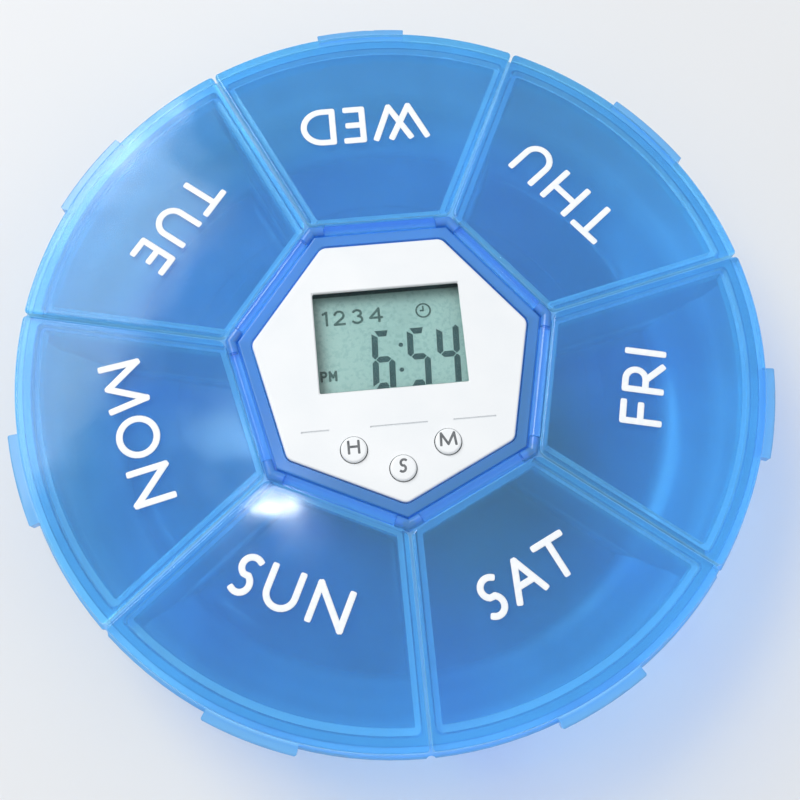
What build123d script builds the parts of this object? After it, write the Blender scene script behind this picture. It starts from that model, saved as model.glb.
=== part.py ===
from build123d import *
import os
from math import cos, sin, tan, radians

os.makedirs("parts", exist_ok=True)

# A round seven-day pill box with an alarm timer in the middle. Millimetres, +Z up.
# The origin is the centre of the face it stands on, and +Y is the top of the display.

# Days, clockwise seen from above, with Wednesday at +Y
days = ("monday", "tuesday", "wednesday", "thursday", "friday", "saturday", "sunday")
pitch = 360 / len(days)
half = pitch / 2
top_day = 2
top_day_angle = 90.0

# Lid sizes
lid_radius = 58.1
lid_top = 25.0
lid_thickness = 1.4
lid_gap = 0.4
lid_corner = 0.6
lid_inner_corner = 1.6
lid_edge_round = 0.45
skirt_thickness = 1.0
skirt_drop = 2.0
tab_reach = 1.9
tab_half_angle = 7.05
tab_height = 1.8
tab_round = 0.4
rib_drop = 2.2
side_rib = 0.85
outer_rib = 1.1
hinge_rib = 0.9
rib_corner = 0.9
rib_inner_corner = 0.3

# Lid hinge sizes
barrel_radius = 0.8
pin_radius = 0.4
pin_length = 1.1
post_width = 2.2
socket_clearance = 0.05
barrel_end_gap = 0.15
barrel_gap = 0.2
barrel_drop = 0.35
hinge_groove = 0.5

# Gaps between the lids and the tray
skirt_gap = 0.15
side_rib_gap = 0.25
outer_rib_gap = 0.3
hinge_rib_gap = 0.25
lid_seat_gap = 0.1
skirt_seat_gap = 0.3

# Tray sizes
wall_top_thickness = 1.05
wall_thickness = 1.5
divider_thickness = 1.7
wall_draft = 3.5
flange_ledge = 0.9
flange_height = 1.4
flange_slope = 0.8
flange_round = 0.4
bowl_round = 13.0
floor_thickness = 1.5
floor_round = 2.0
foot_height = 0.8
foot_radius = 36.0
foot_width = 2.6
cavity_corner = 2.2
mouth_gap = 0.4
notch_radius = 0.8
collar_thickness = 1.7
collar_round = 0.3
well_wall = 1.6
shelf_height = 1.9
shelf_lip = 0.1
ledge_width = 2.0
ledge_thickness = 1.4

# Timer case sizes
face_apothem = 20.05
well_gap = 0.25
face_drop = 0.5
timer_depth = 15.0
case_wall = 1.3
face_plate = 1.5
face_corner = 1.6
face_edge_round = 0.35
back_plate = 1.4
back_lip = 1.0
back_lip_height = 2.0
back_lip_gap = 0.15
groove_width = 0.3
groove_depth = 0.25
groove_y = -10.0
groove_ends = ((-15.0, -10.7), (-4.4, 4.4), (8.4, 15.0))

# Display sizes
window_width = 23.2
window_height = 16.5
window_x = -0.1
window_y = 4.15
window_bevel = 0.15
window_corner = 0.3
window_lip = 0.6
window_lap = 1.2
window_side_gap = 0.1
window_thickness = 1.0
lcd_lap = 0.9
lcd_thickness = 1.8
lcd_gap = 1.1
glass_step = 1.6
frame_wall = 1.0
frame_gap = 0.1
frame_ledge = 1.3
zebra_height = 2.2
zebra_width = 1.8
zebra_inset = 0.3

# Button sizes
button_radius = 2.0
button_gap = 0.15
button_rise = 0.6
button_round = 0.35
button_flange = 0.8
button_flange_height = 0.7
button_flange_gap = 0.1
button_travel = 0.7
stem_radius = 1.2
stem_end_gap = 0.1
button_places = {"hour": (-7.2, -13.4), "set": (0.0, -16.9), "minute": (7.2, -13.4)}
pad_sheet = 0.6
pad_margin = 1.0
pad_dome_radius = 1.8
pad_dome_round = 0.4
pad_spring = 1.1

# Circuit board sizes
board_thickness = 1.0
board_gap = 0.3
board_slot_gap = 0.3
blob_radius = 4.0
blob_height = 1.1
blob_round = 0.9
blob_place = (0.0, 6.0)
crystal_radius = 1.0
crystal_round = 0.3
crystal_length = 6.0
crystal_place = (-13.0, -1.0)
chip_size = (2.0, 1.25, 0.8)
chip_pitch = 2.4
chip_count = 3
capacitor_place = (12.5, -2.5)
resistor_place = (-8.5, -2.5)

# Battery and battery door sizes
cell_radius = 5.8
cell_height = 3.1
cell_step_radius = 4.9
cell_step = 0.35
cell_place = (0.0, -9.3)
cell_gap = 0.25
cell_seat_gap = 0.05
door_radius = 7.2
door_gap = 0.2
cup_wall = 0.7
cup_height = 2.4
lug_reach = 1.2
lug_angle = 36.0
lug_height = 0.8
lug_gap = 0.1
lug_turn = 45.0
notch_margin = 4.0
coin_slot = (9.0, 1.6, 0.7)
contact_strip = 3.0
contact_thickness = 0.25

# Buzzer sizes
buzzer_radius = 9.0
buzzer_thickness = 0.25
ceramic_radius = 6.5
ceramic_thickness = 0.2
buzzer_place = (0.0, 8.6)
buzzer_seat = 0.5
buzzer_seat_width = 1.2
sound_hole_radius = 0.7
sound_hole_ring = 2.6
sound_holes = 6
spring_radius = 0.9
spring_wire = 0.16
spring_turns = 6
spring_end_gap = 0.1
rim_spring_offset = 7.7

# Screw sizes
screw_radius = 0.9
screw_head_radius = 1.6
screw_head_height = 1.1
screw_drive_width = 0.4
screw_drive_length = 2.0
screw_drive_depth = 0.5
case_screw_length = 6.0
board_screw_length = 4.0
boss_radius = 1.9
boss_gap = 0.1
case_boss_ring = 17.4
case_boss_days = ("monday", "thursday", "friday", "sunday")
post_radius = 1.5
board_post_places = ((7.6, 16.1), (-7.6, 16.1), (0.0, -10.4))

# Heights and radii that follow from the sizes above
lid_under = lid_top - lid_thickness
skirt_inner = lid_radius - skirt_thickness
skirt_bottom = lid_under - skirt_drop
step_radius = skirt_inner - skirt_gap
wall_inner = step_radius - wall_top_thickness
wall_top = lid_under - lid_seat_gap
shoulder = skirt_bottom - skirt_seat_gap
rim_radius = lid_radius + flange_ledge
tab_radius = lid_radius + tab_reach
well_apothem = face_apothem + well_gap
collar_apothem = well_apothem + collar_thickness
axis_apothem = collar_apothem + barrel_gap + barrel_radius
axis_z = lid_top - barrel_radius
corner_half = axis_apothem * tan(radians(half))
barrel_half = corner_half - post_width
shelf_apothem = axis_apothem + barrel_radius + shelf_lip
shelf_top = axis_z - barrel_radius - barrel_drop
plate_inner = axis_apothem + barrel_radius + barrel_gap
hinge_rib_inner = shelf_apothem + hinge_rib_gap
face_top = lid_top - face_drop
face_under = face_top - face_plate
well_corner = face_corner + well_gap
back_face = face_top - timer_depth
back_inner = back_face + back_plate
case_inner = face_apothem - case_wall
window_top = face_top - window_lip
window_under = window_top - window_thickness
lcd_top = window_under - lcd_gap
lcd_under = lcd_top - lcd_thickness
board_top = lcd_under - zebra_height
board_under = board_top - board_thickness
lcd_width = window_width + 2 * lcd_lap
lcd_height = window_height + 2 * lcd_lap
cut_over = 1.0


def save(part, name):
    """Write one piece to its own file."""
    export_step(part, f"parts/{name}.step")


def day_angle(day):
    """Direction of a day's middle, in degrees from +X."""
    return top_day_angle + (top_day - day) * pitch


def to_day(day):
    """Turn a piece drawn about +X to its day."""
    return Rot(0, 0, day_angle(day))


def heptagon(apothem, corner=0.0):
    """Plan of the seven-sided outline, with a side facing each day."""
    radius = apothem / cos(radians(half))
    turns = [radians(day_angle(day) + half) for day in range(len(days))]
    outline = make_face(Polyline(*[(radius * cos(t), radius * sin(t)) for t in turns], close=True))
    return fillet(outline.vertices(), corner) if corner else outline


def prism(plan, low, high):
    """A plan raised from one height to another."""
    return Pos(0, 0, low) * extrude(plan, high - low)


def disc(radius, low, high, place=(0.0, 0.0)):
    """An upright round between two heights."""
    return Pos(place[0], place[1], low) * extrude(Circle(radius), high - low)


def wedge(inner, side_gap, outer, corner=0.0):
    """Plan of one day about +X: a straight inner side, two sides and an outer arc."""
    reach = outer + cut_over

    def side(x):
        return x * tan(radians(half)) - side_gap / cos(radians(half))

    corners = [(inner, -side(inner)), (reach, -side(reach)), (reach, side(reach)), (inner, side(inner))]
    plan = make_face(Polyline(*corners, close=True)) & Circle(outer)
    return fillet(plan.vertices(), corner) if corner else plan


def sector(inner, outer, half_angle, low, high):
    """A piece of a ring about +X."""
    reach = outer + cut_over
    tip = reach * tan(radians(half_angle))
    slice_plan = make_face(Polyline((0, 0), (reach, -tip), (reach, tip), close=True))
    return prism((Circle(outer) - Circle(inner)) & slice_plan, low, high)


def along_side(radius, start, end, apothem, height):
    """A round lying along the inner side of a day that faces +X, from start to end."""
    lying = Pos(apothem, start, height) * Rot(-90, 0, 0)
    return lying * extrude(Circle(radius), end - start)


# Tray: a clear blue moulding with seven wedge cavities, an outer rim and the timer's well

def bowl(wall_radius, wall_height, low, round_radius):
    """A round tub with drafted sides and a rounded lower edge, straight above the wall's height."""
    lower = wall_radius - (wall_height - low) * tan(radians(wall_draft))
    outline = Polyline((0, low), (lower, low), (wall_radius, wall_height), (wall_radius, lid_top),
                       (0, lid_top), close=True)
    face = make_face(outline)
    bottom = face.vertices().sort_by_distance((lower, low, 0))[0]
    return revolve(Plane.XZ * fillet(bottom, round_radius), Axis.Z)


def make_tray():
    outer_wall = wall_inner + wall_thickness
    flange_low = shoulder - flange_height
    floor_top = foot_height + floor_thickness
    body = bowl(outer_wall, flange_low, foot_height, bowl_round)
    body &= disc(rim_radius, 0, shoulder)
    slope = make_face(Polyline((0, flange_low - flange_slope), (outer_wall - flange_slope, flange_low - flange_slope),
                               (rim_radius, flange_low), (rim_radius, shoulder), (0, shoulder), close=True))
    slope = fillet(slope.vertices().sort_by_distance((rim_radius, shoulder, 0))[0], flange_round)
    body += revolve(Plane.XZ * slope, Axis.Z)
    body += disc(step_radius, shoulder - cut_over, wall_top)
    foot = disc(foot_radius + foot_width / 2, 0, foot_height + cut_over)
    foot -= disc(foot_radius - foot_width / 2, 0, foot_height + cut_over)
    body += foot

    scoop = bowl(wall_inner, shoulder, floor_top, bowl_round - wall_thickness)
    cavity = prism(wedge(well_apothem + well_wall, divider_thickness / 2, wall_inner, cavity_corner),
                   floor_top, lid_top)
    cavity = fillet(cavity.faces().sort_by(Axis.Z)[0].edges(), floor_round)
    mouth_low = lid_under - rib_drop - mouth_gap
    cavity += prism(wedge(shelf_apothem, divider_thickness / 2, wall_inner, rib_corner), mouth_low, lid_top)
    cavity = cavity & scoop
    for day in range(len(days)):
        body -= to_day(day) * cavity

    body -= prism(heptagon(shelf_apothem), shelf_top, lid_top + cut_over)
    flare_top = shelf_top - shelf_height
    flare = shelf_apothem - well_apothem - well_wall
    body += loft([Pos(0, 0, flare_top - flare) * heptagon(well_apothem + well_wall),
                  Pos(0, 0, flare_top) * heptagon(shelf_apothem)])
    body += prism(heptagon(shelf_apothem), flare_top, shelf_top)
    collar = prism(heptagon(collar_apothem), shelf_top - cut_over, face_top)
    body += fillet(collar.faces().sort_by(Axis.Z)[-1].edges(), collar_round)

    post_ring = heptagon(axis_apothem + barrel_radius) - heptagon(axis_apothem - barrel_radius)
    posts = prism(post_ring, shelf_top - cut_over, axis_z)
    post_start = barrel_half + barrel_end_gap
    clear = Pos(axis_apothem, 0, axis_z) * Box(4 * barrel_radius, 2 * post_start, 4 * axis_apothem)
    corner_ball = Pos(axis_apothem, corner_half, axis_z) * Sphere(barrel_radius)
    for day in range(len(days)):
        posts -= to_day(day) * clear
    body += posts
    for day in range(len(days)):
        body += to_day(day) * along_side(barrel_radius, post_start, corner_half, axis_apothem, axis_z)
        body += to_day(day) * along_side(barrel_radius, -corner_half, -post_start, axis_apothem, axis_z)
        body += to_day(day) * corner_ball

    ledge_top = back_face
    body -= prism(heptagon(well_apothem, well_corner), ledge_top, lid_top + cut_over)
    body -= prism(heptagon(well_apothem - ledge_width), -cut_over, lid_top)
    body -= prism(heptagon(well_apothem, well_corner), -cut_over, ledge_top - ledge_thickness)

    socket_end = barrel_half + pin_length + barrel_end_gap
    notch = disc(notch_radius, 0, lid_top, (rim_radius + notch_radius / 2, 0))
    for day in range(len(days)):
        for start, end in ((-socket_end, -post_start + cut_over), (post_start - cut_over, socket_end)):
            body -= to_day(day) * along_side(pin_radius + socket_clearance, start, end, axis_apothem, axis_z)
        body -= to_day(day) * Rot(0, 0, half) * notch
    return body


# Lids: one clear blue moulding for each day, hinged beside the timer

def make_lid():
    plan = wedge(plate_inner, lid_gap / 2, lid_radius)
    inner_corners = plan.vertices().sort_by(Axis.X)[:2]
    plan = fillet(inner_corners, lid_inner_corner)
    plan = fillet(plan.vertices().sort_by(Axis.X)[-2:], lid_corner)
    plate = prism(plan, lid_under, lid_top)
    plate += prism(plan - Circle(skirt_inner), skirt_bottom, lid_under)
    top_edges = plate.faces().sort_by(Axis.Z)[-1].edges()
    plate = fillet([edge for edge in top_edges if edge.center().X > plate_inner + cut_over], lid_edge_round)
    tongue_reach = plate_inner + barrel_radius - axis_apothem
    tongue = Pos(axis_apothem + tongue_reach / 2, 0) * Rectangle(tongue_reach, 2 * barrel_half)
    plate += prism(tongue, lid_under, lid_top - hinge_groove)

    tab = sector(skirt_inner + skirt_thickness / 2, tab_radius, tab_half_angle, skirt_bottom,
                 skirt_bottom + tab_height)
    tab = fillet(tab.faces().sort_by(Axis.X)[-1].edges(), tab_round)
    plate += tab

    rib_outer = wall_inner - outer_rib_gap
    side = divider_thickness / 2 + side_rib_gap
    ribs = wedge(hinge_rib_inner, side, rib_outer, rib_corner)
    ribs -= wedge(hinge_rib_inner + hinge_rib, side + side_rib, rib_outer - outer_rib, rib_inner_corner)
    lid = plate + prism(ribs, lid_under - rib_drop, lid_under)
    lid += along_side(barrel_radius, -barrel_half, barrel_half, axis_apothem, axis_z)
    pin_half = barrel_half + pin_length
    lid += along_side(pin_radius, -pin_half, pin_half, axis_apothem, axis_z)
    return lid


# Timer: white case, display, buttons, board, buzzer and battery

def window_plan(margin):
    """Plan of the display opening, larger all round by a margin."""
    return Pos(window_x, window_y) * Rectangle(window_width + 2 * margin, window_height + 2 * margin)


def boss_places():
    """Places of the case screws, each in the corner that follows a day clockwise."""
    turns = [radians(day_angle(days.index(day)) - half) for day in case_boss_days]
    return [(case_boss_ring * cos(turn), case_boss_ring * sin(turn)) for turn in turns]


def make_front_cover():
    cover = prism(heptagon(face_apothem, face_corner), back_inner, face_top)
    cover = fillet(cover.faces().sort_by(Axis.Z)[-1].edges(), face_edge_round)
    cover -= prism(heptagon(case_inner), back_inner - cut_over, face_under)
    case_space = prism(heptagon(face_apothem - case_wall / 2), back_inner, face_under)
    for place in boss_places():
        cover += disc(boss_radius, back_inner + boss_gap, face_under, place) & case_space
        cover -= disc(screw_radius, back_inner, back_inner + case_screw_length, place)
    for place in board_post_places:
        cover += disc(post_radius, board_top, face_under, place)
        cover -= disc(screw_radius, board_top - cut_over, board_top + board_screw_length, place)
    opening = fillet(window_plan(0).vertices(), window_corner)
    cover -= prism(opening, face_under - cut_over, face_top + cut_over)
    cover -= prism(window_plan(window_lap + window_side_gap), face_under - cut_over, window_top)
    bevel = loft([Pos(0, 0, face_top - window_bevel) * window_plan(0),
                  Pos(0, 0, face_top) * window_plan(window_bevel)])
    cover -= bevel
    for place in button_places.values():
        cover -= disc(button_radius + button_gap, face_under - cut_over, face_top + cut_over, place)
    for start, end in groove_ends:
        groove = Pos((start + end) / 2, groove_y) * Rectangle(end - start, groove_width)
        cover -= prism(groove, face_top - groove_depth, face_top + cut_over)
    return cover


def make_back_cover():
    cover = prism(heptagon(face_apothem, face_corner), back_face, back_inner)
    cover = chamfer(cover.faces().sort_by(Axis.Z)[0].edges(), face_edge_round)
    lip_apothem = case_inner - back_lip_gap
    lip = prism(heptagon(lip_apothem) - heptagon(lip_apothem - back_lip), back_inner - back_plate / 2,
                back_inner + back_lip_height)
    for place in boss_places():
        lip -= disc(boss_radius + boss_gap + back_lip_gap, back_inner, face_under, place)
    cover += lip
    for place in boss_places():
        cover -= disc(screw_radius + boss_gap, back_face - cut_over, back_inner + cut_over, place)
        cover -= disc(screw_head_radius + boss_gap, back_face - cut_over, back_face + back_plate / 2, place)
    cover -= disc(door_radius + door_gap, back_face - cut_over, back_inner + cut_over, cell_place)
    notch = sector(door_radius / 2, door_radius + lug_reach + door_gap, lug_angle / 2 + notch_margin,
                   back_face - cut_over, back_inner + cut_over)
    for turn in (lug_turn, lug_turn + 180):
        cover -= Pos(cell_place[0], cell_place[1], 0) * Rot(0, 0, turn) * notch
    seat = disc(buzzer_radius, back_inner - back_plate / 2, back_inner + buzzer_seat, buzzer_place)
    seat -= disc(buzzer_radius - buzzer_seat_width, back_inner, back_inner + buzzer_seat, buzzer_place)
    cover += seat
    for hole in range(sound_holes):
        turn = radians(hole * 360 / sound_holes)
        place = (buzzer_place[0] + sound_hole_ring * cos(turn), buzzer_place[1] + sound_hole_ring * sin(turn))
        cover -= disc(sound_hole_radius, back_face - cut_over, back_inner + cut_over, place)
    return cover


def make_window():
    return prism(fillet(window_plan(window_lap).vertices(), window_corner), window_under, window_top)


def make_lcd():
    glass = Pos(window_x, window_y) * Rectangle(lcd_width, lcd_height)
    top_glass = Pos(window_x, window_y + glass_step / 2) * Rectangle(lcd_width, lcd_height - glass_step)
    middle = (lcd_top + lcd_under) / 2
    return prism(glass, lcd_under, middle) + prism(top_glass, middle, lcd_top)


def make_lcd_frame():
    pocket = Pos(window_x, window_y) * Rectangle(lcd_width + 2 * frame_gap, lcd_height + 2 * frame_gap)
    outside = Pos(window_x, window_y) * Rectangle(lcd_width + 2 * (frame_gap + frame_wall),
                                                 lcd_height + 2 * (frame_gap + frame_wall))
    light = Pos(window_x, window_y) * Rectangle(lcd_width - 2 * frame_ledge, lcd_height - 2 * frame_ledge)
    outside = outside & heptagon(case_inner - board_gap)
    return prism(outside - pocket, board_top, lcd_top) + prism(outside - light, board_top, lcd_under)


def make_zebra():
    length = lcd_width - 2 * (frame_ledge + zebra_inset)
    y = window_y - lcd_height / 2 + frame_ledge + zebra_inset + zebra_width / 2
    return prism(Pos(window_x, y) * Rectangle(length, zebra_width), board_top, lcd_under)


def make_board():
    board = prism(heptagon(case_inner - board_gap), board_under, board_top)
    for place in boss_places():
        board -= disc(boss_radius + board_slot_gap, board_under - cut_over, board_top + cut_over, place)
    for place in board_post_places:
        board -= disc(screw_radius, board_under - cut_over, board_top + cut_over, place)
    return board


def make_blob():
    blob = disc(blob_radius, board_top, board_top + blob_height, blob_place)
    return fillet(blob.faces().sort_by(Axis.Z)[-1].edges(), blob_round)


def make_crystal():
    lying = Pos(crystal_place[0], crystal_place[1], board_under - crystal_radius) * Rot(90, 0, 0)
    can = lying * Cylinder(crystal_radius, crystal_length)
    return fillet(can.edges().filter_by(GeomType.CIRCLE), crystal_round)


def chip_row(place):
    """Small surface parts in a row under the board."""
    length, width, height = chip_size
    row = [Pos(place[0], place[1] + n * chip_pitch, board_under - height / 2) * Box(length, width, height)
           for n in range(chip_count)]
    return Compound(children=row)


def make_button(place):
    bottom = button_stem_end()
    cap = disc(button_radius, face_under - button_flange_height, face_top + button_rise, place)
    cap = fillet(cap.faces().sort_by(Axis.Z)[-1].edges(), button_round)
    flange_top = face_under - button_flange_gap
    cap += disc(button_radius + button_flange, flange_top - button_flange_height, flange_top, place)
    return cap + disc(stem_radius, bottom, flange_top, place)


def pad_top():
    """Height of the rubber domes."""
    return board_top + pad_sheet + pad_spring


def button_stem_end():
    """Lowest point of a button that is not pressed."""
    return pad_top() + button_travel + stem_end_gap


def make_key_pad():
    spots = list(button_places.values())
    outline = Sketch() + [Pos(*spot) * Circle(pad_dome_radius + pad_margin) for spot in spots]
    for a, b in zip(spots, spots[1:]):
        middle = Vector((a[0] + b[0]) / 2, (a[1] + b[1]) / 2)
        run = Vector(b[0] - a[0], b[1] - a[1])
        turn = Vector(1, 0).get_signed_angle(run, Vector(0, 0, 1))
        outline += Pos(middle.X, middle.Y) * Rot(0, 0, turn) * Rectangle(run.length, pad_dome_radius)
    pad = prism(outline, board_top, board_top + pad_sheet)
    for spot in spots:
        dome = disc(pad_dome_radius, board_top, pad_top(), spot)
        pad += fillet(dome.faces().sort_by(Axis.Z)[-1].edges(), pad_dome_round)
    return pad


def make_cell():
    low = back_inner + cell_seat_gap
    cell = disc(cell_radius, low, low + cell_height - cell_step, cell_place)
    cell = fillet(cell.faces().sort_by(Axis.Z)[0].edges(), cell_step)
    return cell + disc(cell_step_radius, low, low + cell_height, cell_place)


def make_door():
    door = disc(door_radius, back_face, back_inner, cell_place)
    cup_inner = cell_radius + cell_gap
    cup = disc(cup_inner + cup_wall, back_inner, back_inner + cup_height, cell_place)
    cup -= disc(cup_inner, back_inner, back_inner + cup_height, cell_place)
    door += cup
    lug_low = back_inner + lug_gap
    lug = sector(cup_inner + cup_wall / 2, door_radius + lug_reach, lug_angle / 2, lug_low, lug_low + lug_height)
    for turn in (0, 180):
        door += Pos(cell_place[0], cell_place[1], 0) * Rot(0, 0, turn) * lug
    slot = Pos(cell_place[0], cell_place[1], back_face + coin_slot[2] / 2) * Box(*coin_slot)
    return door - slot


def make_positive_contact():
    """A strip down the side of the cell, outside the door's cup, with a foot under the board."""
    x = cell_place[0] + cell_radius + cell_gap + cup_wall + cell_gap
    low = back_inner + cup_height + cell_gap
    strip = Pos(x, cell_place[1], (low + board_under) / 2) * Box(contact_thickness, contact_strip,
                                                                board_under - low)
    touch_x = cell_place[0] + cell_radius
    blade = Pos((x + touch_x) / 2, cell_place[1], low + contact_thickness / 2) * Box(
        x - touch_x, contact_strip, contact_thickness)
    foot = Pos(x + contact_strip / 2, cell_place[1], board_under - contact_thickness / 2) * Box(
        contact_strip, contact_strip, contact_thickness)
    return strip + blade + foot


def make_negative_contact():
    """A leaf from the board down to the top of the cell."""
    low = back_inner + cell_seat_gap + cell_height
    x = cell_place[0] - cell_step_radius / 2
    back_y = cell_place[1] + cell_radius
    leaf = Pos(x, (cell_place[1] + back_y) / 2, low + contact_thickness / 2) * Box(
        contact_strip, back_y - cell_place[1], contact_thickness)
    riser = Pos(x, back_y, (low + board_under) / 2) * Box(contact_strip, contact_thickness, board_under - low)
    foot = Pos(x, back_y + contact_strip / 2, board_under - contact_thickness / 2) * Box(
        contact_strip, contact_strip, contact_thickness)
    return leaf + riser + foot


def make_buzzer():
    low = back_inner + buzzer_seat
    plate = disc(buzzer_radius - cell_gap, low, low + buzzer_thickness, buzzer_place)
    return plate + disc(ceramic_radius, low + buzzer_thickness, low + buzzer_thickness + ceramic_thickness,
                        buzzer_place)


def make_spring(place, low):
    """A small coil between the buzzer and the board."""
    start = low + spring_end_gap + spring_wire
    height = board_under - spring_end_gap - spring_wire - start
    path = Helix(height / spring_turns, height, spring_radius)
    wire = sweep(Plane(path @ 0, z_dir=path % 0) * Circle(spring_wire), path, is_frenet=True)
    return Pos(place[0], place[1], start) * wire


def make_buzzer_contacts():
    plate_top = back_inner + buzzer_seat + buzzer_thickness
    rim_place = (buzzer_place[0] + rim_spring_offset, buzzer_place[1])
    return Compound(children=[make_spring(buzzer_place, plate_top + ceramic_thickness),
                              make_spring(rim_place, plate_top)])


def make_screw(place, head_top, length):
    """A cross-head screw that points up, with its head below."""
    screw = disc(screw_head_radius, head_top - screw_head_height, head_top, place)
    screw += disc(screw_radius, head_top, head_top + length, place)
    low = head_top - screw_head_height
    for turn in (0, 90):
        cut = Box(screw_drive_length, screw_drive_width, 2 * screw_drive_depth)
        screw -= Pos(place[0], place[1], low) * Rot(0, 0, turn) * cut
    return screw


def make_case_screws():
    seat = back_face + back_plate / 2
    return Compound(children=[make_screw(place, seat, case_screw_length - back_plate / 2)
                              for place in boss_places()])


def make_board_screws():
    return Compound(children=[make_screw(place, board_under, board_thickness + board_screw_length - boss_gap)
                              for place in board_post_places])


save(make_tray(), "base_tray")
lid = make_lid()
for day, day_name in enumerate(days):
    save(to_day(day) * lid, f"lid_{day_name}")
save(make_front_cover(), "timer_front_cover")
save(make_back_cover(), "timer_back_cover")
save(make_window(), "display_window")
save(make_lcd(), "lcd_panel")
save(make_lcd_frame(), "lcd_frame")
save(make_zebra(), "zebra_strip")
save(make_board(), "circuit_board")
save(make_blob(), "chip_blob")
save(make_crystal(), "quartz_crystal")
save(chip_row(capacitor_place), "capacitors")
save(chip_row(resistor_place), "resistors")
for button_name, button_place in button_places.items():
    save(make_button(button_place), f"button_{button_name}")
save(make_key_pad(), "key_pad")
save(make_buzzer(), "piezo_buzzer")
save(make_buzzer_contacts(), "buzzer_contacts")
save(make_cell(), "button_cell")
save(make_positive_contact(), "battery_contact_positive")
save(make_negative_contact(), "battery_contact_negative")
save(make_door(), "battery_door")
save(make_case_screws(), "case_screws")
save(make_board_screws(), "board_screws")
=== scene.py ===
from math import cos, pi, radians, sin

import bpy
from mathutils import Matrix, Vector


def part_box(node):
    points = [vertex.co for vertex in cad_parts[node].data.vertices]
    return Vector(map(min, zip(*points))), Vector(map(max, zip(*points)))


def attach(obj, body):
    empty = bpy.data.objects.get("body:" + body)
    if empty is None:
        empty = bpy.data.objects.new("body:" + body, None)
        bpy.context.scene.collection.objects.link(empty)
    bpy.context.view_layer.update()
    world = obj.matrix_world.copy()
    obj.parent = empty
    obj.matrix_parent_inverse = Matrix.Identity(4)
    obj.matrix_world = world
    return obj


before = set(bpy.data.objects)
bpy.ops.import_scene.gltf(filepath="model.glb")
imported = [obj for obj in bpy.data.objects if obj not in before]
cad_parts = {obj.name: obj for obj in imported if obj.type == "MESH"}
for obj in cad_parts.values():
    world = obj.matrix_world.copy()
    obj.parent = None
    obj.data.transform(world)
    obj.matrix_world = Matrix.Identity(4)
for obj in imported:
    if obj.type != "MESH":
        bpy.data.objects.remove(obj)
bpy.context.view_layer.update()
bpy.ops.object.select_all(action="DESELECT")

# The tray is one moulding in clear blue polypropylene: seven cups in a bowl, and a well for the timer.
# The plastic is polished and slightly cloudy, so it lets the floor show, dimmed, and its edges shine.
# Its walls and upper parts are painted a paler blue than its floor, painted light that they catch.
MM = 0.001
TRAY_FLOOR_BLUE = (0.085, 0.400, 0.670)
TRAY_WALL_LIT_BLUE = (0.430, 0.735, 0.950)
TRAY_FLOOR_TOP = 2.5 * MM
TRAY_WALL_FROM = 17.0 * MM
TRAY_FLOOR_EDGE = 0.38
TRAY_FLOOR_PASSES = 0.65
TRAY_WALL_PASSES = 0.50
TRAY_ROUGHNESS = (0.14, 0.24)
TRAY_LIGHT = (0.60, 0.77, 0.96)
COLLAR_BLUE = (0.120, 0.385, 0.860)
TAB_BLUE = (0.200, 0.520, 0.860)
SIDES = 7
HINGE_INSIDE = 23.6 * MM
HINGE_OUTSIDE = 23.9 * MM
HINGE_LOW = 21.0 * MM
HINGE_HIGH = 22.5 * MM
TAB_FROM = 58.2 * MM
TAB_FULL = 58.6 * MM
TAB_DIMMER = 0.55
EDGE_RISE = 0.5 * MM
STEEP_FROM = 0.85
STEEP_TO = 0.25
PLASTIC_IOR = 1.49
CLOUDY = 0.88
CLOUD_SIZE = 24 * MM
CLOUD_WARP = 0.8
SMEAR_SIZE = 6 * MM
SINK_SIZE = 8 * MM
SINK_DEPTH = 0.014 * MM
NOISE_LOW = 0.32
NOISE_HIGH = 0.68


def new_finish(name):
    """A material with its nodes, its shader and the object's own coordinates."""
    finish = bpy.data.materials.new(name)
    finish.use_nodes = True
    nodes = finish.node_tree
    place = nodes.nodes.new("ShaderNodeTexCoord")
    return finish, nodes, nodes.nodes["Principled BSDF"], place.outputs["Object"]


def mottle(nodes, place, size, detail=3.0, warp=0.0):
    """Soft uneven patches about as large as size."""
    noise = nodes.nodes.new("ShaderNodeTexNoise")
    noise.inputs["Scale"].default_value = 1.0 / size
    noise.inputs["Detail"].default_value = detail
    noise.inputs["Distortion"].default_value = warp
    nodes.links.new(place, noise.inputs["Vector"])
    return noise.outputs["Fac"]


def graded(nodes, value, start, end, first, second):
    """A number that goes from first to second while value goes from start to end."""
    grade = nodes.nodes.new("ShaderNodeMapRange")
    grade.inputs["From Min"].default_value = start
    grade.inputs["From Max"].default_value = end
    grade.inputs["To Min"].default_value = first
    grade.inputs["To Max"].default_value = second
    nodes.links.new(value, grade.inputs["Value"])
    return grade.outputs["Result"]


def spread(nodes, patches, low, high):
    """A number that goes from low to high with the patches."""
    return graded(nodes, patches, NOISE_LOW, NOISE_HIGH, low, high)


def sum_of(nodes, kind, first, second):
    """The result of one sum, each side of it a number or the result of a node."""
    made = nodes.nodes.new("ShaderNodeMath")
    made.operation = kind
    for socket, number in zip(made.inputs, (first, second)):
        if isinstance(number, float):
            socket.default_value = number
        else:
            nodes.links.new(number, socket)
    return made.outputs["Value"]


def blend_colour(nodes, share, first, second):
    """A colour that goes from first to second with a share, each of them a colour or from a node."""
    mix = nodes.nodes.new("ShaderNodeMix")
    mix.data_type = "RGBA"
    nodes.links.new(share, mix.inputs["Factor"])
    for socket, colour in ((mix.inputs["A"], first), (mix.inputs["B"], second)):
        if isinstance(colour, tuple):
            socket.default_value = (*colour, 1.0)
        else:
            nodes.links.new(colour, socket)
    return mix.outputs["Result"]


def tint(nodes, patches, first, second):
    """A colour that goes from first to second with the patches."""
    return blend_colour(nodes, spread(nodes, patches, 0.0, 1.0), first, second)


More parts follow.
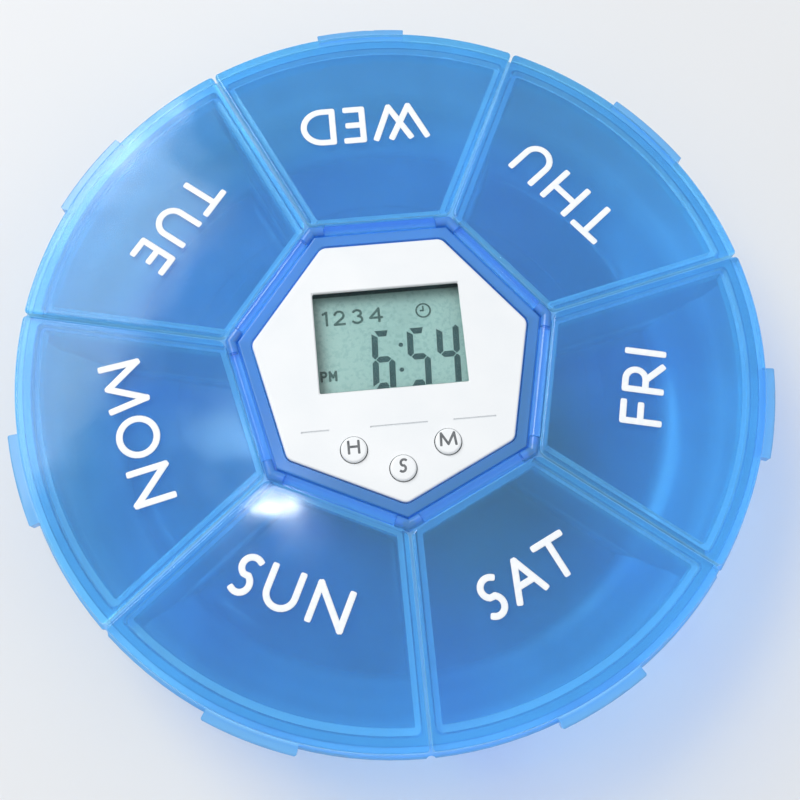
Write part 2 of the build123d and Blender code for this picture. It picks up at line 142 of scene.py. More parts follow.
def relief(nodes, shader, patches, depth):
    """Fine relief of a real depth."""
    bump = nodes.nodes.new("ShaderNodeBump")
    bump.inputs["Distance"].default_value = depth
    nodes.links.new(patches, bump.inputs["Height"])
    nodes.links.new(bump.outputs["Normal"], shader.inputs["Normal"])


def let_light_in(nodes, shader, colour):
    """Lamps shine through the piece and take on its colour."""
    rays = nodes.nodes.new("ShaderNodeLightPath")
    clear = nodes.nodes.new("ShaderNodeBsdfTransparent")
    clear.inputs["Color"].default_value = (*colour, 1.0)
    choice = nodes.nodes.new("ShaderNodeMixShader")
    nodes.links.new(rays.outputs["Is Shadow Ray"], choice.inputs["Fac"])
    nodes.links.new(shader.outputs["BSDF"], choice.inputs[1])
    nodes.links.new(clear.outputs["BSDF"], choice.inputs[2])
    nodes.links.new(choice.outputs["Shader"], nodes.nodes["Material Output"].inputs["Surface"])


def from_middle(nodes, place):
    """How far out a place lies from the box's middle, measured square to the seven sides of the well."""
    furthest = None
    for side in range(SIDES):
        turn = pi / 2 + side * 2 * pi / SIDES
        reach = nodes.nodes.new("ShaderNodeVectorMath")
        reach.operation = "DOT_PRODUCT"
        reach.inputs[1].default_value = (cos(turn), sin(turn), 0.0)
        nodes.links.new(place, reach.inputs[0])
        out = reach.outputs["Value"]
        furthest = out if furthest is None else sum_of(nodes, "MAXIMUM", furthest, out)
    return furthest


def straight_across(nodes, place):
    """How far out a place lies from the box's middle, in any direction."""
    level = nodes.nodes.new("ShaderNodeVectorMath")
    level.operation = "MULTIPLY"
    level.inputs[1].default_value = (1.0, 1.0, 0.0)
    nodes.links.new(place, level.inputs[0])
    reach = nodes.nodes.new("ShaderNodeVectorMath")
    reach.operation = "LENGTH"
    nodes.links.new(level.outputs["Vector"], reach.inputs[0])
    return reach.outputs["Value"]


def clear_blue(name, plate, wall, hinge, plate_z, wall_z, edge, plate_passes, wall_passes, roughness,
               light):
    """Tinted clear plastic with painted light: its walls and ribs are painted a paler colour than its
    plate.

    Steep faces have all of the wall's colour. Level ones go from the plate's colour at plate_z, by a
    first share of the wall's called edge, to all of it at wall_z.
    """
    finish, nodes, shader, place = new_finish(name)
    height = nodes.nodes.new("ShaderNodeSeparateXYZ")
    nodes.links.new(place, height.inputs["Vector"])
    slope = nodes.nodes.new("ShaderNodeSeparateXYZ")
    nodes.links.new(place.node.outputs["Normal"], slope.inputs["Vector"])
    level = sum_of(nodes, "ABSOLUTE", slope.outputs["Z"], 0.0)
    high = sum_of(nodes, "MAXIMUM", graded(nodes, height.outputs["Z"], plate_z, wall_z, 0.0, 1.0),
                  graded(nodes, height.outputs["Z"], plate_z, plate_z + EDGE_RISE, 0.0, edge))
    # The wall's paler colour is painted light: steep faces take all of it.
    lit_wall_share = sum_of(nodes, "MAXIMUM", high, graded(nodes, level, STEEP_FROM, STEEP_TO, 0.0, 1.0))
    cloudy = tuple(CLOUDY * part for part in plate)
    flat = tint(nodes, mottle(nodes, place, CLOUD_SIZE, detail=2.0, warp=CLOUD_WARP), cloudy, plate)
    inside = graded(nodes, from_middle(nodes, place), HINGE_OUTSIDE, HINGE_INSIDE, 0.0, 1.0)
    hinged = sum_of(nodes, "MULTIPLY", inside,
                    graded(nodes, height.outputs["Z"], HINGE_LOW, HINGE_HIGH, 0.0, 1.0))
    tabbed = graded(nodes, straight_across(nodes, place), TAB_FROM, TAB_FULL, 0.0, 1.0)
    body = blend_colour(nodes, tabbed, blend_colour(nodes, lit_wall_share, flat, wall), TAB_BLUE)
    nodes.links.new(blend_colour(nodes, hinged, body, hinge), shader.inputs["Base Color"])
    passes = graded(nodes, lit_wall_share, 0.0, 1.0, plate_passes, wall_passes)
    dimmed = graded(nodes, tabbed, 0.0, 1.0, 1.0, TAB_DIMMER)
    nodes.links.new(sum_of(nodes, "MULTIPLY", passes, dimmed), shader.inputs["Transmission Weight"])
    smears = mottle(nodes, place, SMEAR_SIZE, detail=2.0)
    nodes.links.new(spread(nodes, smears, *roughness), shader.inputs["Roughness"])
    relief(nodes, shader, mottle(nodes, place, SINK_SIZE, detail=1.0), SINK_DEPTH)
    shader.inputs["IOR"].default_value = PLASTIC_IOR
    let_light_in(nodes, shader, light)
    return finish


def finish_nodes(finish, *names):
    """Gives carried pieces their finish."""
    for name in names:
        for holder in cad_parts[name].material_slots:
            holder.material = finish


tray_plastic = clear_blue("tray_plastic", plate=TRAY_FLOOR_BLUE, wall=TRAY_WALL_LIT_BLUE, hinge=COLLAR_BLUE,
                          plate_z=TRAY_FLOOR_TOP, wall_z=TRAY_WALL_FROM, edge=TRAY_FLOOR_EDGE,
                          plate_passes=TRAY_FLOOR_PASSES, wall_passes=TRAY_WALL_PASSES,
                          roughness=TRAY_ROUGHNESS, light=TRAY_LIGHT)
finish_nodes(tray_plastic, "base_tray")

# The timer's board is green laminate with a drop of black resin over the chip, and small soldered parts.
# Three screws hold it to posts of the front cover, above the buzzer.
BOARD_GREEN = (0.030, 0.170, 0.070)
BOARD_GREEN_DARK = (0.018, 0.115, 0.045)
RESIN_BLACK = (0.012, 0.012, 0.014)
RESIN_GREY = (0.024, 0.024, 0.028)
CERAMIC_TAN = (0.42, 0.28, 0.15)
CERAMIC_BROWN = (0.34, 0.22, 0.11)
FADE_SIZE = 12 * MM
RUBBED_SIZE = 2 * MM
RUBBED = 0.06
GRAIN_DEPTH = 0.012 * MM


def moulded(name, colour, other, grain, rough):
    """An opaque piece with slow patches of colour and a fine eroded grain."""
    finish, nodes, shader, place = new_finish(name)
    fades = mottle(nodes, place, FADE_SIZE)
    nodes.links.new(tint(nodes, fades, other, colour), shader.inputs["Base Color"])
    rubs = mottle(nodes, place, RUBBED_SIZE)
    nodes.links.new(spread(nodes, rubs, rough - RUBBED, rough + RUBBED), shader.inputs["Roughness"])
    relief(nodes, shader, mottle(nodes, place, grain, detail=2.0), GRAIN_DEPTH)
    shader.inputs["IOR"].default_value = PLASTIC_IOR
    return finish


finish_nodes(moulded("board_laminate", BOARD_GREEN, BOARD_GREEN_DARK, grain=0.8 * MM, rough=0.35),
             "circuit_board")
finish_nodes(moulded("chip_resin", RESIN_BLACK, RESIN_GREY, grain=1.2 * MM, rough=0.25),
             "chip_blob", "resistors")
finish_nodes(moulded("capacitor_ceramic", CERAMIC_TAN, CERAMIC_BROWN, grain=0.3 * MM, rough=0.50),
             "capacitors")

# The metal pieces are drawn, rolled or stamped: the crystal's can, the buzzer's brass disc, its springs,
# the cell and its contacts, and the screws. Each is a little dulled where it has been handled.
CAN_BRIGHT = (0.72, 0.72, 0.70)
CAN_DULL = (0.58, 0.58, 0.56)
BRASS = (0.74, 0.53, 0.20)
BRASS_DULL = (0.58, 0.38, 0.13)
NICKEL = (0.66, 0.66, 0.64)
NICKEL_DULL = (0.50, 0.50, 0.48)
CELL_STEEL = (0.74, 0.74, 0.73)
CELL_DULL = (0.62, 0.62, 0.61)
ZINC = (0.56, 0.56, 0.55)
ZINC_DULL = (0.38, 0.38, 0.38)
TARNISH_SIZE = 3 * MM
HANDLED_SIZE = 0.6 * MM
POLISHED = 0.07
HANDLED = 0.08
DRAWN_SIZE = 0.25 * MM
DRAWN_DEPTH = 0.004 * MM


def metal(name, colour, dulled, rough):
    """Bare or plated metal with tarnish in patches and fine drawing marks."""
    finish, nodes, shader, place = new_finish(name)
    tarnish = mottle(nodes, place, TARNISH_SIZE, detail=4.0)
    nodes.links.new(tint(nodes, tarnish, dulled, colour), shader.inputs["Base Color"])
    handling = mottle(nodes, place, HANDLED_SIZE)
    nodes.links.new(spread(nodes, handling, rough - POLISHED, rough + HANDLED), shader.inputs["Roughness"])
    relief(nodes, shader, mottle(nodes, place, DRAWN_SIZE), DRAWN_DEPTH)
    shader.inputs["Metallic"].default_value = 1.0
    return finish


finish_nodes(metal("crystal_can", CAN_BRIGHT, CAN_DULL, rough=0.25), "quartz_crystal")
finish_nodes(metal("buzzer_brass", BRASS, BRASS_DULL, rough=0.30), "piezo_buzzer")
finish_nodes(metal("contact_nickel", NICKEL, NICKEL_DULL, rough=0.28),
             "buzzer_contacts", "battery_contact_positive", "battery_contact_negative")
finish_nodes(metal("cell_can", CELL_STEEL, CELL_DULL, rough=0.24), "button_cell")
finish_nodes(metal("screw_zinc", ZINC, ZINC_DULL, rough=0.34), "case_screws", "board_screws")

# Soft and pale small parts: the pad that springs the buttons back is grey silicone, the strip that joins
# the display to the board is striped pink rubber, and the frame that holds the display is pale plastic.
PAD_GREY = (0.26, 0.27, 0.27)
PAD_GREY_DARK = (0.21, 0.22, 0.22)
STRIP_PINK = (0.52, 0.22, 0.18)
STRIP_DARK = (0.40, 0.16, 0.13)
HOLDER_PALE = (0.66, 0.67, 0.66)
HOLDER_SHADE = (0.59, 0.60, 0.59)

finish_nodes(moulded("pad_silicone", PAD_GREY, PAD_GREY_DARK, grain=0.3 * MM, rough=0.70), "key_pad")
finish_nodes(moulded("strip_rubber", STRIP_PINK, STRIP_DARK, grain=0.25 * MM, rough=0.65), "zebra_strip")
finish_nodes(moulded("holder_plastic", HOLDER_PALE, HOLDER_SHADE, grain=0.4 * MM, rough=0.50), "lcd_frame")

# The display is a glass sandwich over a grey-green film, slightly uneven and shaded along its top edge.
# What is lit is dark: the time in tall seven-bar figures, four small alarm numbers, a clock and PM.
# A dark strip along the top edge is painted shade, where the window's lip shades the film.
FILM_GREEN = (0.232, 0.381, 0.366)
FILM_GREEN_DARK = (0.190, 0.330, 0.320)
FILM_SHADED = (0.135, 0.262, 0.252)
FILM_TOP = (10.4 * MM, 13.2 * MM)
FILM_CLOUD_SIZE = 14 * MM
FILM_GRAIN_SIZE = 0.6 * MM
FILM_ROUGHNESS = (0.24, 0.34)
FILM_RELIEF_SIZE = 0.2 * MM
FILM_RELIEF_DEPTH = 0.004 * MM
FIGURE_AND_SHADE_DARK = (0.018, 0.055, 0.062)
FIGURE_AND_SHADE_GREY = (0.027, 0.076, 0.082)
MARK_DARK = (0.028, 0.072, 0.070)
MARK_GREY = (0.046, 0.100, 0.096)
BEHIND_GLASS = 0.1
FIGURE_THICKNESS = 0.02 * MM
TIME_WIDTH = 3.60 * MM
TIME_HEIGHT = 9.58 * MM
TIME_BAR = 0.98 * MM
TIME_LEAN = 0.05
TIME_LOW = -3.44 * MM
TIME_PLACES = (("6", -3.09 * MM), ("5", 2.53 * MM), ("4", 7.23 * MM))
BAR_GAP = 0.12 * MM
BAR_STOP = 1.00 * MM
BAR_BEVEL = 0.35
COLON_PLACES = ((1.62 * MM, 3.52 * MM), (1.38 * MM, -0.60 * MM))
COLON_RADIUS = 0.36 * MM
ALARM_HEIGHT = 2.15 * MM
ALARM_BASE = 7.78 * MM
ALARM_PLACES = (("1", -10.30 * MM), ("2", -8.50 * MM), ("3", -5.60 * MM), ("4", -2.80 * MM))
ALARM_LINE = 0.40 * MM
CLOCK_PLACE = (5.72 * MM, 8.95 * MM)
CLOCK_RADIUS = 1.12 * MM
CLOCK_LONG_HAND = 0.62
CLOCK_SHORT_HAND = 0.40
CLOCK_LINE = 0.28 * MM
PM_PLACE = (-11.28 * MM, -1.42 * MM)
PM_HEIGHT = 1.42 * MM
PM_LINE = 0.38 * MM
STROKE_STEP = 0.0004 * MM
STROKE_SMOOTHNESS = 3
SHARP_TURN = radians(35)
BLUNT_TIP = ((0.82, 0.20), (0.80, 0.62), (0.62, 0.90))
INK_BLOT_SIZE = 0.8 * MM
INK_WEAR_SIZE = 1.5 * MM
INK_ROUGHNESS = (0.35, 0.55)
INK_RELIEF_SIZE = 0.4 * MM
INK_RELIEF_DEPTH = 0.006 * MM
INK_SHINE = 0.5
LIP_SHADE_STRIP = ((-12.2 * MM, 12.42 * MM), (12.2 * MM, 13.26 * MM))
LIT_BARS = {"4": "fgbc", "5": "afgcd", "6": "afgecd"}

finish, nodes, shader, place = new_finish("display_film")
across = nodes.nodes.new("ShaderNodeSeparateXYZ")
nodes.links.new(place, across.inputs["Vector"])
shaded = graded(nodes, across.outputs["Y"], *FILM_TOP, 0.0, 1.0)
cloudy = tint(nodes, mottle(nodes, place, FILM_CLOUD_SIZE, detail=2.0), FILM_GREEN_DARK, FILM_GREEN)
nodes.links.new(blend_colour(nodes, shaded, cloudy, FILM_SHADED), shader.inputs["Base Color"])
grain = mottle(nodes, place, FILM_GRAIN_SIZE)
nodes.links.new(spread(nodes, grain, *FILM_ROUGHNESS), shader.inputs["Roughness"])
relief(nodes, shader, mottle(nodes, place, FILM_RELIEF_SIZE, detail=1.0), FILM_RELIEF_DEPTH)
finish_nodes(finish, "lcd_panel")


def printed(name, colour, worn, shine=INK_SHINE):
    """Printed or lit marks, a little uneven."""
    finish, nodes, shader, place = new_finish(name)
    blots = mottle(nodes, place, INK_BLOT_SIZE, detail=4.0)
    nodes.links.new(tint(nodes, blots, worn, colour), shader.inputs["Base Color"])
    wear = mottle(nodes, place, INK_WEAR_SIZE)
    nodes.links.new(spread(nodes, wear, *INK_ROUGHNESS), shader.inputs["Roughness"])
    relief(nodes, shader, mottle(nodes, place, INK_RELIEF_SIZE), INK_RELIEF_DEPTH)
    shader.inputs["Specular IOR Level"].default_value = shine
    return finish


def mesh_from(name, drawing):
    """A drawing of lines made into a mesh."""
    piece = bpy.data.objects.new(name, drawing)
    bpy.context.collection.objects.link(piece)
    piece.select_set(True)
    bpy.context.view_layer.objects.active = piece
    bpy.ops.object.convert(target="MESH")
    piece.select_set(False)
    return piece


def cut_shapes(name, outlines, thickness):
    """Flat shapes cut to closed outlines, their middle plane at z = 0, as one mesh."""
    drawing = bpy.data.curves.new(name, "CURVE")
    drawing.dimensions = "2D"
    drawing.fill_mode = "BOTH"
    drawing.extrude = thickness / 2
    for outline in outlines:
        spline = drawing.splines.new("POLY")
        spline.points.add(len(outline) - 1)
        for point, (x, y) in zip(spline.points, outline):
            point.co = (x, y, 0.0, 1.0)
        spline.use_cyclic_u = True
    return mesh_from(name, drawing)


def number_bars(wide, high, bar, gap, stop):
    """Outlines of the seven bars of a number, its lower left corner at the origin."""
    right, middle, foot, bevel = wide - bar, high / 2, (bar + gap) / 2, bar * BAR_BEVEL
    upright = [(0.0, foot), (bar / 2, gap / 2), (bar, foot), (bar, middle - bar - gap),
               (0.0, middle - bevel - gap)]
    above = [(x, middle + y) for x, y in upright]
    below = [(x, middle - y) for x, y in upright]
    return {
        "a": [(bevel + gap, high), (wide - stop, high), (wide - stop - 2 * gap, high - bar),
              (bar + gap, high - bar)],
        "b": [(right, high - bar / 2), (right + bar / 2, high), (wide, high - bar / 2),
              (wide, middle + foot), (right + bar / 2, middle + gap / 2), (right, middle + foot)],
        "c": [(right, gap), (wide, gap), (wide, middle - foot), (right + bar / 2, middle - gap / 2),
              (right, middle - foot)],
        "d": [(bevel + gap, 0.0), (right - gap, 0.0), (right - gap, bar / 2), (right - bar / 2, bar),
              (bar + gap, bar)],
        "e": below,
        "f": above,
        "g": [(bar / 2 + gap, middle), (bar + gap, middle + bar / 2), (right - gap, middle + bar / 2),
              (right + bar / 2 - gap, middle), (right - gap, middle - bar / 2),
              (bar + gap, middle - bar / 2)],
    }


def join(name, pieces):
    """One piece from several."""
    bpy.ops.object.select_all(action="DESELECT")
    for piece in pieces:
        piece.select_set(True)
    bpy.context.view_layer.objects.active = pieces[0]
    bpy.ops.object.join()
    pieces[0].name = name
    bpy.ops.object.select_all(action="DESELECT")
    return pieces[0]


def arc(x, y, wide, high, start, end, steps=14):
    """Points round part of an oval, in degrees from +X."""
    turns = [radians(start + (end - start) * step / steps) for step in range(steps + 1)]
    return [(x + wide * cos(turn), y + high * sin(turn)) for turn in turns]


def straight_runs(line):
    """A line cut where it turns sharply, as a pen draws it in several strokes."""
    runs = [[line[0]]]
    for before, here, after in zip(line, line[1:], line[2:]):
        runs[-1].append(here)
        first = Vector(here) - Vector(before)
        second = Vector(after) - Vector(here)
        if first.angle(second) > SHARP_TURN:
            runs.append([here])
    runs[-1].append(line[-1])
    return runs


def pen_strokes(name, lines, width, thickness):
    """Flat marks of even width with blunt ends, as one mesh, each stroke a hair above the one before."""
    drawing = bpy.data.curves.new(name, "CURVE")
    drawing.dimensions = "3D"
    drawing.bevel_depth = width / 2
    drawing.bevel_resolution = STROKE_SMOOTHNESS
    drawing.use_fill_caps = True
    for number, run in enumerate([run for line in lines for run in straight_runs(line)]):
        lift = number * STROKE_STEP * width / thickness
        start = (Vector(run[0]) - Vector(run[1])).normalized() * width / 2
        end = (Vector(run[-1]) - Vector(run[-2])).normalized() * width / 2
        points = [(Vector(run[0]) + start * out, wide) for out, wide in BLUNT_TIP]
        points += [(Vector(point), 1.0) for point in run]
        points += [(Vector(run[-1]) + end * out, wide) for out, wide in reversed(BLUNT_TIP)]
        spline = drawing.splines.new("POLY")
        spline.points.add(len(points) - 1)
        for point, (place_at, wide) in zip(spline.points, points):
            point.co = (*place_at, lift, 1.0)
            point.radius = wide
    piece = mesh_from(name, drawing)
    piece.data.transform(Matrix.Diagonal((1.0, 1.0, thickness / width, 1.0)))
    return piece


NUMBERS = {
    "1": [[(0.00, 0.86), (0.26, 1.0), (0.26, 0.0)]],
    "2": [arc(0.36, 0.69, 0.33, 0.31, 165, -35) + [(0.0, 0.0), (0.74, 0.0)]],
    "3": [arc(0.34, 0.76, 0.30, 0.24, 150, -75), arc(0.34, 0.27, 0.36, 0.27, 78, -150)],
    "4": [[(0.88, 0.30), (0.0, 0.30), (0.66, 1.0), (0.66, 0.0)]],
}
film_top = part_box("lcd_panel")[1][2]
bar_shapes = number_bars(TIME_WIDTH, TIME_HEIGHT, TIME_BAR, BAR_GAP, BAR_STOP)
outlines = [arc(x, y, COLON_RADIUS, COLON_RADIUS, 0, 345, steps=23) for x, y in COLON_PLACES]
for number, left in TIME_PLACES:
    for key in LIT_BARS[number]:
        outlines.append([(left + x + TIME_LEAN * (y - TIME_HEIGHT / 2), TIME_LOW + y)
                         for x, y in bar_shapes[key]])
# The strip is painted shade under the window's lip, in the figures' dark colour.
(strip_left, strip_low), (strip_right, strip_high) = LIP_SHADE_STRIP
outlines.append([(strip_left, strip_low), (strip_right, strip_low), (strip_right, strip_high),
                 (strip_left, strip_high)])
time_figures_and_shade = cut_shapes("display_figures_and_shade", outlines, FIGURE_THICKNESS)
time_figures_and_shade.data.transform(Matrix.Translation((0.0, 0.0, film_top + FIGURE_THICKNESS / 2)))

alarm_lines = [[(x * ALARM_HEIGHT + left, y * ALARM_HEIGHT + ALARM_BASE) for x, y in line]
               for number, left in ALARM_PLACES for line in NUMBERS[number]]
clock_x, clock_y = CLOCK_PLACE
clock_lines = [arc(clock_x, clock_y, CLOCK_RADIUS, CLOCK_RADIUS, 90, 450, steps=28),
               [(clock_x, clock_y + CLOCK_RADIUS * CLOCK_LONG_HAND), (clock_x, clock_y)],
               [(clock_x, clock_y), (clock_x - CLOCK_RADIUS * CLOCK_SHORT_HAND, clock_y)]]
pm_lines = [[(0.0, 0.0), (0.0, 1.0)] + arc(0.25, 0.74, 0.28, 0.26, 90, -90) + [(0.0, 0.48)],
            [(0.94, 0.0), (0.94, 1.0), (1.28, 0.35), (1.62, 1.0), (1.62, 0.0)]]
pm_lines = [[(x * PM_HEIGHT + PM_PLACE[0], y * PM_HEIGHT + PM_PLACE[1]) for x, y in line]
            for line in pm_lines]
small_marks = join("display_marks", [
    pen_strokes("alarm_numbers", alarm_lines, ALARM_LINE, FIGURE_THICKNESS),
    pen_strokes("clock_mark", clock_lines, CLOCK_LINE, FIGURE_THICKNESS),
    pen_strokes("pm_mark", pm_lines, PM_LINE, FIGURE_THICKNESS),
])
small_marks.data.transform(Matrix.Translation((0.0, 0.0, film_top + FIGURE_THICKNESS / 2)))
for marks, finish in ((time_figures_and_shade, printed("lit_figures_and_shade", FIGURE_AND_SHADE_DARK, FIGURE_AND_SHADE_GREY, BEHIND_GLASS)),
                      (small_marks, printed("lit_marks", MARK_DARK, MARK_GREY, BEHIND_GLASS))):
    marks.data.materials.clear()
    marks.data.materials.append(finish)
    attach(marks, "timer")

# The window over the display is a plate of clear acrylic pressed into the front cover from behind.
# It is coated against glare on both sides and has faint smears.
COATED_IOR = 1.33
ACRYLIC_CLEAR = (0.96, 0.98, 0.97)
ACRYLIC_LIGHT = (0.95, 0.97, 0.96)
ACRYLIC_ROUGHNESS = (0.02, 0.09)
FINGER_SIZE = 5 * MM
FINGER_WARP = 1.5

finish, nodes, shader, place = new_finish("window_acrylic")
smears = mottle(nodes, place, FINGER_SIZE, detail=5.0, warp=FINGER_WARP)
nodes.links.new(spread(nodes, smears, *ACRYLIC_ROUGHNESS), shader.inputs["Roughness"])
shader.inputs["Base Color"].default_value = (*ACRYLIC_CLEAR, 1.0)
shader.inputs["IOR"].default_value = COATED_IOR
shader.inputs["Transmission Weight"].default_value = 1.0
let_light_in(nodes, shader, ACRYLIC_LIGHT)
finish_nodes(finish, "display_window")

# The timer's case is two white mouldings with a satin skin, screwed together from behind.
# The battery door in its back is the same plastic, and the three buttons are a smoother white.
CASE_WHITE = (0.88, 0.90, 0.91)
CASE_SHADE = (0.83, 0.86, 0.88)
CAP_WHITE = (0.89, 0.91, 0.92)
CAP_SHADE = (0.85, 0.88, 0.90)

finish_nodes(moulded("case_plastic", CASE_WHITE, CASE_SHADE, grain=0.35 * MM, rough=0.38),
             "timer_front_cover", "timer_back_cover", "battery_door")
finish_nodes(moulded("cap_plastic", CAP_WHITE, CAP_SHADE, grain=0.5 * MM, rough=0.32),
             "button_hour", "button_set", "button_minute")

# The words on the lids and the letters on the buttons are pad-printed ink, drawn with one even line.
# Each letter has the room left of it, its width, the room right of it and its strokes, in cap heights.
STEM = 0.25
ROUND = 0.19
OPEN = 0.13
LETTERS = {
    "A": (OPEN, 0.81, OPEN, [[(0.0, 0.0), (0.45, 1.0), (0.81, 0.0)], [(0.16, 0.36), (0.68, 0.36)]]),
    "D": (STEM, 0.85, ROUND, [[(0.0, 0.0), (0.0, 1.0)] + arc(0.30, 0.5, 0.55, 0.5, 90, -90)
                              + [(0.0, 0.0)]]),
    "E": (STEM, 0.50, OPEN, [[(0.48, 0.0), (0.0, 0.0), (0.0, 1.0), (0.50, 1.0)],
                             [(0.0, 0.51), (0.43, 0.51)]]),
    "F": (STEM, 0.53, OPEN, [[(0.0, 0.0), (0.0, 1.0), (0.53, 1.0)], [(0.0, 0.52), (0.48, 0.52)]]),
    "H": (STEM, 0.83, STEM, [[(0.0, 0.0), (0.0, 1.0)], [(0.83, 0.0), (0.83, 1.0)],
                             [(0.0, 0.54), (0.83, 0.54)]]),
    "I": (STEM, 0.0, STEM, [[(0.0, 0.0), (0.0, 1.0)]]),
    "M": (ROUND, 1.25, ROUND, [[(0.0, 0.0), (0.06, 1.0), (0.60, 0.06), (1.14, 1.0), (1.25, 0.0)]]),
    "N": (STEM, 0.88, STEM, [[(0.0, 0.0), (0.0, 1.0), (0.88, 0.0), (0.88, 1.0)]]),
    "O": (ROUND, 1.01, ROUND, [arc(0.505, 0.5, 0.505, 0.505, 90, 450, steps=32)]),
    "R": (STEM, 0.72, OPEN, [[(0.0, 0.0), (0.0, 1.0)] + arc(0.28, 0.72, 0.285, 0.28, 90, -90)
                             + [(0.0, 0.44)], [(0.30, 0.44), (0.72, 0.0)]]),
    "S": (OPEN, 0.54, OPEN, [arc(0.35, 0.73, 0.27, 0.27, 50, 235)
                             + arc(0.19, 0.27, 0.26, 0.27, 55, -130)]),
    "T": (OPEN, 0.81, OPEN, [[(0.0, 1.0), (0.81, 1.0)], [(0.405, 1.0), (0.405, 0.0)]]),
    "U": (STEM, 0.78, STEM, [[(0.0, 1.0)] + arc(0.39, 0.36, 0.39, 0.38, 180, 360) + [(0.78, 1.0)]]),
    "W": (OPEN, 1.47, OPEN, [[(0.0, 1.0), (0.475, 0.0), (1.015, 1.0)],
                             [(0.475, 1.0), (1.055, 0.0), (1.47, 1.0)]]),
}
INK_WHITE = (0.95, 0.96, 0.97)
INK_WHITE_WORN = (0.86, 0.91, 0.95)
INK_GREY = (0.10, 0.11, 0.12)
INK_GREY_WORN = (0.17, 0.18, 0.19)


def printed_word(name, word, height, line, thickness):
    """A word in one even line, its middle at the origin and its tops towards +Y."""
    strokes = []
    pen = 0.0
    for letter in word:
        before, width, after, shape = LETTERS[letter]
        pen += before
        strokes += [[(x + pen, y) for x, y in stroke] for stroke in shape]
        pen += width + after
    middle = (pen + LETTERS[word[0]][0] - LETTERS[word[-1]][2]) / 2
    strokes = [[((x - middle) * height, (y - 0.5) * height) for x, y in stroke] for stroke in strokes]
    return pen_strokes(name, strokes, line, thickness)


CAP_LETTERS = {"hour": "H", "set": "S", "minute": "M"}
CAP_LETTER_HEIGHT = 1.85 * MM
CAP_LETTER_LINE = 0.38 * MM
CAP_LETTER_THICKNESS = 0.006 * MM
CAP_LETTER_SHIFT = (0.0, 0.32 * MM)

grey_ink = printed("grey_ink", INK_GREY, INK_GREY_WORN)
for cap, letter in CAP_LETTERS.items():
    low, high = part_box("button_" + cap)
    mark = printed_word("letter_" + cap, letter, CAP_LETTER_HEIGHT, CAP_LETTER_LINE, CAP_LETTER_THICKNESS)
    x = (low[0] + high[0]) / 2 + CAP_LETTER_SHIFT[0]
    y = (low[1] + high[1]) / 2 + CAP_LETTER_SHIFT[1]
    mark.data.transform(Matrix.Translation((x, y, high[2])))
    mark.data.materials.append(grey_ink)
    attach(mark, "button_" + cap)

# The seven lids are the tray's plastic, thinner and paler, each on two pins beside the timer.
# Each has the short name of its day in white, a little off its middle, and Sunday's a little more so.
# The ribs, skirts and edges are painted a paler blue than the plates, painted light that they catch.
LID_PLATE_BLUE = (0.280, 0.700, 0.940)
LID_RIB_LIT_BLUE = (0.520, 0.860, 1.000)
BARREL_BLUE = (0.240, 0.580, 0.930)
LID_PLATE_UNDER = 23.58 * MM
LID_RIB_FROM = 23.40 * MM
LID_EDGE = 0.0
LID_PLATE_PASSES = 0.92
LID_RIB_PASSES = 0.55
LID_ROUGHNESS = (0.05, 0.12)
LID_LIGHT = (0.66, 0.82, 0.97)
DAYS = ("monday", "tuesday", "wednesday", "thursday", "friday", "saturday", "sunday")
DAY_AT_TOP = 2
WORD_HEIGHT = 5.6 * MM
WORD_LINE = 1.05 * MM
WORD_THICKNESS = 0.03 * MM
WORD_RADIUS = 39.9 * MM
PRINT_SHIFT = (-0.8 * MM, 1.25 * MM)
SUNDAY_SHIFT = (0.0, 0.9 * MM)

lid_plastic = clear_blue("lid_plastic", plate=LID_PLATE_BLUE, wall=LID_RIB_LIT_BLUE, hinge=BARREL_BLUE,
                         plate_z=LID_PLATE_UNDER, wall_z=LID_RIB_FROM, edge=LID_EDGE,
                         plate_passes=LID_PLATE_PASSES, wall_passes=LID_RIB_PASSES,
                         roughness=LID_ROUGHNESS, light=LID_LIGHT)
finish_nodes(lid_plastic, *("lid_" + day for day in DAYS))
white_ink = printed("white_ink", INK_WHITE, INK_WHITE_WORN)
for number, day in enumerate(DAYS):
    turn = pi / 2 + (DAY_AT_TOP - number) * 2 * pi / len(DAYS)
    word = printed_word("word_" + day, day[:3].upper(), WORD_HEIGHT, WORD_LINE, WORD_THICKNESS)
    own_shift = SUNDAY_SHIFT if day == "sunday" else (0.0, 0.0)
    x = WORD_RADIUS * cos(turn) + PRINT_SHIFT[0] + own_shift[0]
    y = WORD_RADIUS * sin(turn) + PRINT_SHIFT[1] + own_shift[1]
    lid_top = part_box("lid_" + day)[1][2]
    word.data.transform(Matrix.Translation((x, y, lid_top)) @ Matrix.Rotation(turn + pi / 2, 4, "Z"))
    word.data.materials.append(white_ink)
    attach(word, "lid_" + day)

# The studio is a plain pale floor under a pale sky, with a soft key lamp high behind on the left, a long
# dim lamp that lays a haze on the lids there, and a fill on the right. A small bright one gives the glint.
FLOOR_PALE = (0.80, 0.81, 0.82)
FLOOR_SHADE = (0.79, 0.80, 0.81)
FLOOR_ROUGHNESS = 0.75
FLOOR_PATCH_SIZE = 60 * MM
FLOOR_WIDTH = 30.0
FLOOR_DROP = 0.1 * MM
SKY_PALE = (0.97, 0.98, 1.0)
SKY_LIGHT = 0.57
SKY_SEEN = 0.92

finish, nodes, shader, place = new_finish("floor_card")
patches = mottle(nodes, place, FLOOR_PATCH_SIZE)
nodes.links.new(tint(nodes, patches, FLOOR_SHADE, FLOOR_PALE), shader.inputs["Base Color"])
shader.inputs["Roughness"].default_value = FLOOR_ROUGHNESS
bpy.ops.mesh.primitive_plane_add(size=FLOOR_WIDTH, location=(0.0, 0.0, -FLOOR_DROP))
floor = bpy.context.object
floor.name = "floor"
floor.data.materials.append(finish)

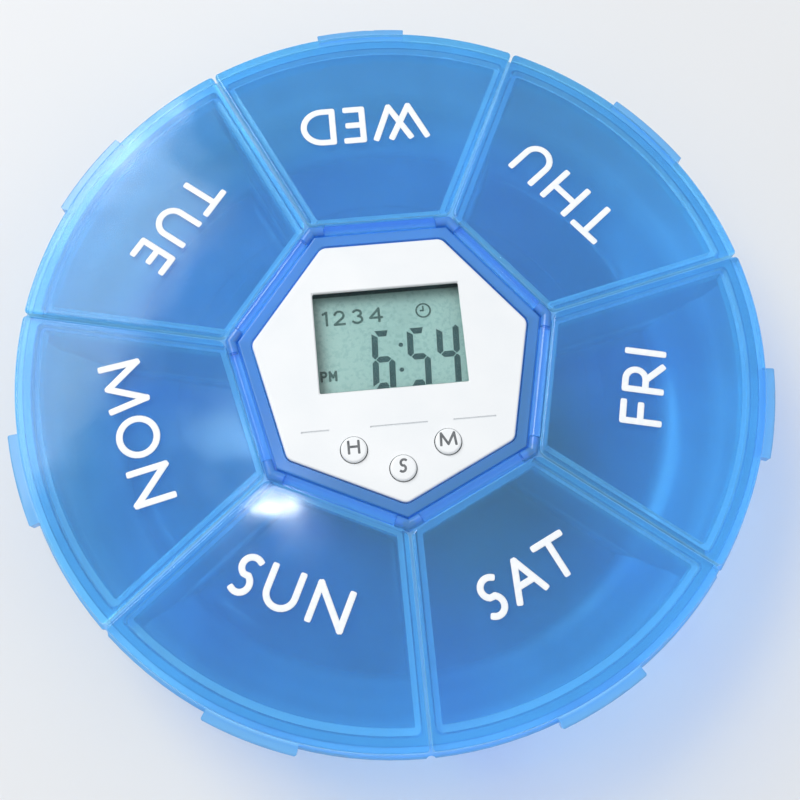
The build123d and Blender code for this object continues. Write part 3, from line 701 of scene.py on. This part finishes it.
sky = bpy.data.worlds.new("sky")
bpy.context.scene.world = sky
sky.use_nodes = True
nodes = sky.node_tree
rays = nodes.nodes.new("ShaderNodeLightPath")
seen = sum_of(nodes, "MAXIMUM", rays.outputs["Is Camera Ray"], rays.outputs["Is Transmission Ray"])
strength = graded(nodes, seen, 0.0, 1.0, SKY_LIGHT, SKY_SEEN)
nodes.links.new(strength, nodes.nodes["Background"].inputs["Strength"])
nodes.nodes["Background"].inputs["Color"].default_value = (*SKY_PALE, 1.0)


def soft_lamp(name, at, wide, deep, power, spin=0.0):
    """A flat lamp that faces the box, spun in degrees about the way it faces."""
    light = bpy.data.lights.new(name, "AREA")
    light.shape = "RECTANGLE"
    light.size = wide
    light.size_y = deep
    light.energy = power
    lamp = bpy.data.objects.new(name, light)
    lamp.location = at
    facing = (-Vector(at)).to_track_quat("-Z", "Y").to_matrix() @ Matrix.Rotation(radians(spin), 3, "Z")
    lamp.rotation_euler = facing.to_euler()
    bpy.context.collection.objects.link(lamp)


soft_lamp("key", at=(-0.50, 0.60, 0.80), wide=0.56, deep=0.56, power=5.1)
soft_lamp("haze", at=(-0.36, 0.25, 0.72), wide=0.55, deep=0.28, power=1.4)
soft_lamp("fill", at=(0.60, -0.30, 0.55), wide=0.60, deep=0.60, power=0.7)
soft_lamp("glint", at=(-0.066, 0.087, 0.600), wide=0.032, deep=0.009, power=0.05, spin=-45.0)

# The camera stands where the photograph was taken: nearly overhead, towards the lower edge.
# Its place, tilt and focal length were fitted to notches, corners and tabs read in the photograph.
PICTURE_WIDTH = 800
FOCAL_PIXELS = 1102.0
SENSOR = 36.0
NEAREST = 10 * MM
CAMERA_AT = (-6.77 * MM, -51.2 * MM, 187.7 * MM)
CAMERA_BACK = (-0.04297, -0.26571, 0.96310)
CAMERA_UP = (0.08742, 0.95929, 0.26856)

lens = bpy.data.cameras.new("camera")
lens.sensor_width = SENSOR
lens.lens = SENSOR * FOCAL_PIXELS / PICTURE_WIDTH
lens.clip_start = NEAREST
camera = bpy.data.objects.new("camera", lens)
bpy.context.collection.objects.link(camera)
back = Vector(CAMERA_BACK).normalized()
right = Vector(CAMERA_UP).cross(back).normalized()
facing = Matrix((right, back.cross(right), back)).transposed().to_4x4()
camera.matrix_world = Matrix.Translation(CAMERA_AT) @ facing
bpy.context.scene.camera = camera
bpy.context.scene.view_settings.view_transform = "Standard"
